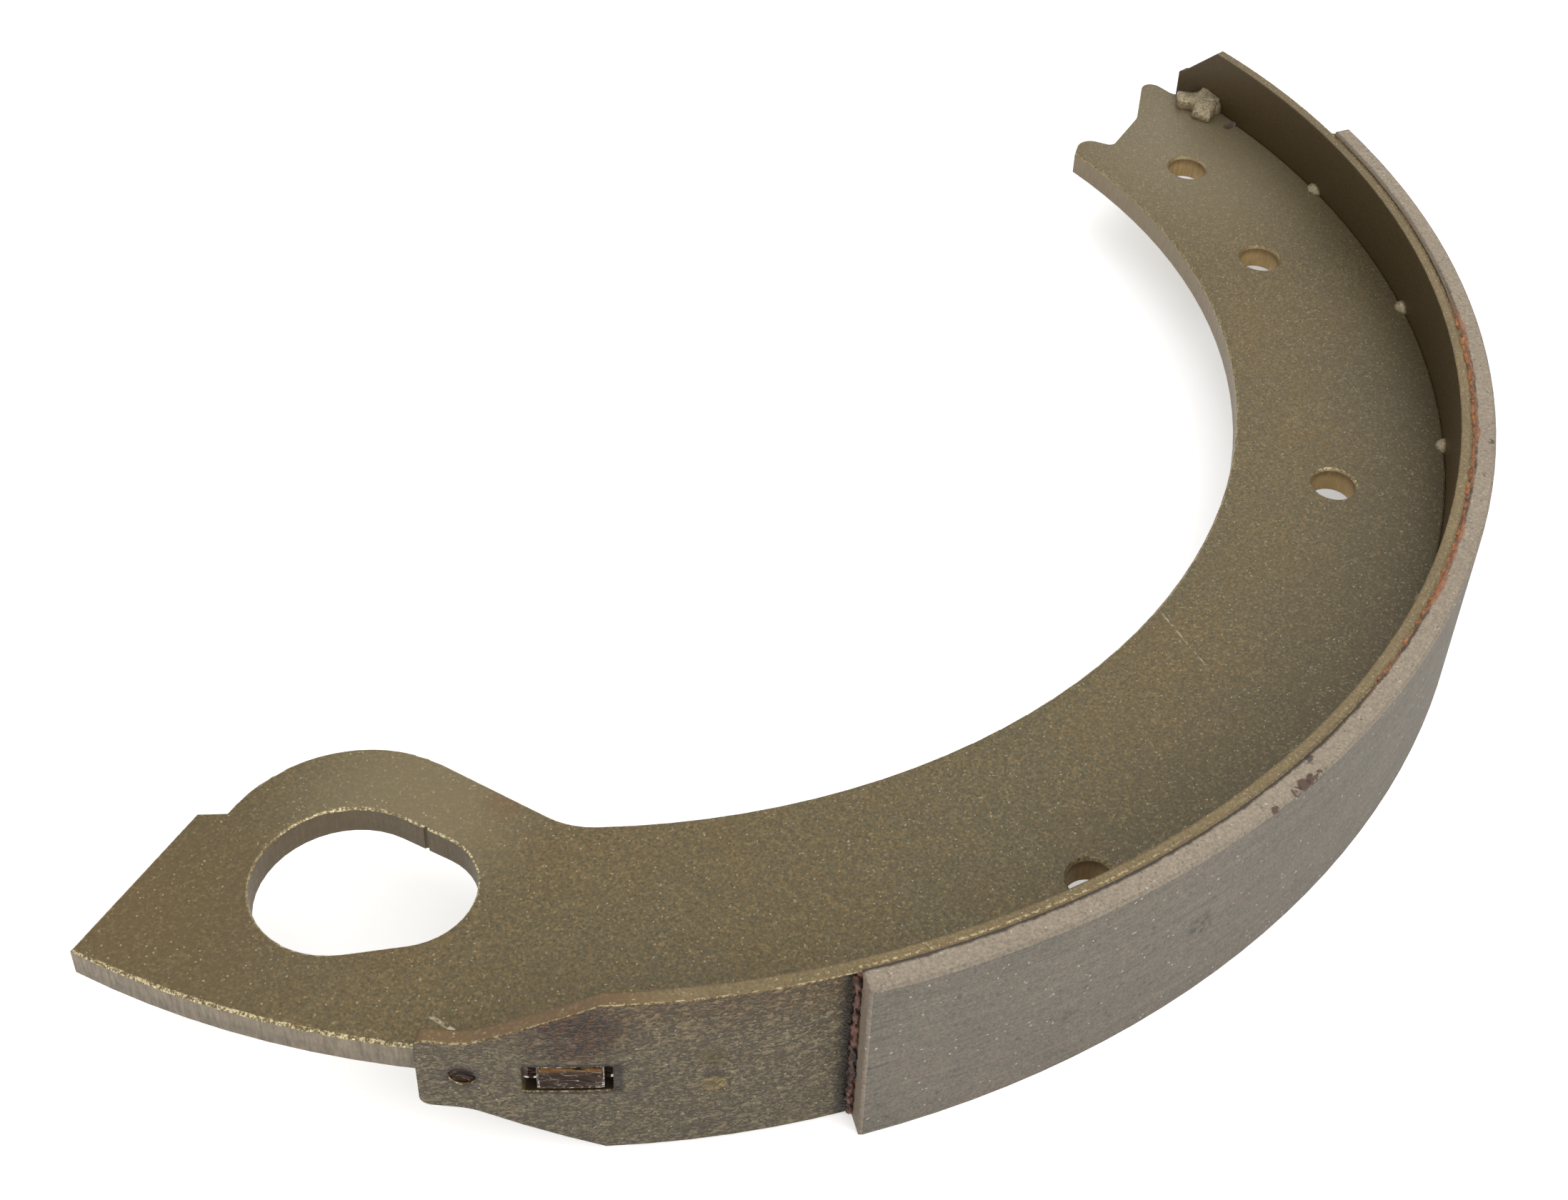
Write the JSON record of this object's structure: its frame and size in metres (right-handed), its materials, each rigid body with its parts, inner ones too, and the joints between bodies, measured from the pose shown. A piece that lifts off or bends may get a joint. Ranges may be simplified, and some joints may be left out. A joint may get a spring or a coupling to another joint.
{
  "type": "brake shoe",
  "caption": "Curved parking brake shoe: stamped web welded into a rolled table, with a bonded friction lining.",
  "frame": {"origin": "on the drum's axis, half-way across the lining's width", "axes": "+Z along the drum's axis, +X from the axis through the middle of the lining, -Y towards the anchor end, so the shoe lies flat on its side"},
  "size_m": [0.1041, 0.1924, 0.022],
  "materials": {
    "painted_steel": "bronze metallic stoving paint with a fine sparkle, over stamped steel",
    "friction_lining": "moulded grey-brown friction material, ground along its arc",
    "bond_adhesive": "cured red-orange adhesive squeezed out of the joint"
  },
  "bodies": {
    "root": {"web": "painted_steel", "table": "painted_steel", "web_welds": "painted_steel", "lining": "friction_lining", "bond_line": "bond_adhesive"}
  },
  "joints": []
}
